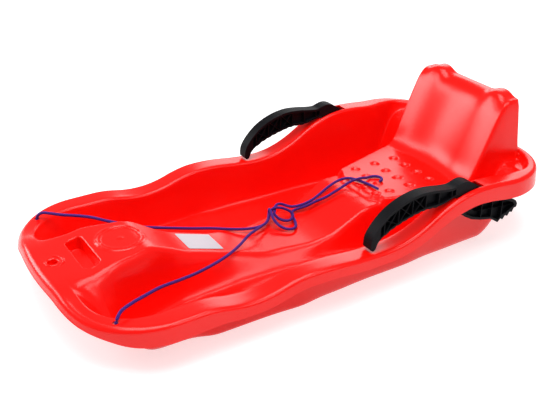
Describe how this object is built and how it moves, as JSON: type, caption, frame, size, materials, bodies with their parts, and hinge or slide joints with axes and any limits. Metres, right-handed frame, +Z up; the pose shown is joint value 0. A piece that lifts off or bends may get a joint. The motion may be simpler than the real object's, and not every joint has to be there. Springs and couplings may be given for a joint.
{
  "type": "bob sled",
  "caption": "Moulded plastic bob sled with a wavy rim, leg wells beside a raised seat, a backrest, hand-lever claw brakes and a knotted tow rope.",
  "frame": {"origin": "middle of the sled's footprint, on the ground it stands on", "axes": "+X to the rider's left, +Y from the front towards the backrest, +Z up"},
  "size_m": [0.44, 0.879, 0.2298],
  "materials": {
    "hull_plastic": "glossy",
    "lever_plastic": "satin",
    "steel": "drawn",
    "label_plastic": "smooth",
    "rope_fibre": "braided"
  },
  "bodies": {
    "hull": {"hull": "hull_plastic", "label": "label_plastic", "tow_rope": "rope_fibre", "rope_knot": "rope_fibre", "rope_tail_long": "rope_fibre", "rope_tail_short": "rope_fibre"},
    "brake_left": {"brake_lever_left": "lever_plastic", "brake_axle_left": "steel"},
    "brake_right": {"brake_lever_right": "lever_plastic", "brake_axle_right": "steel"}
  },
  "joints": [
    {"name": "brake_pull_left", "type": "hinge", "parent": "hull", "child": "brake_left", "pos_m": [0.195, 0.226, 0.11917], "axis": [-1, 0, 0], "range_deg": [0, 60]},
    {"name": "brake_pull_right", "type": "hinge", "parent": "hull", "child": "brake_right", "pos_m": [-0.195, 0.226, 0.11917], "axis": [-1, 0, 0], "range_deg": [0, 60]}
  ]
}
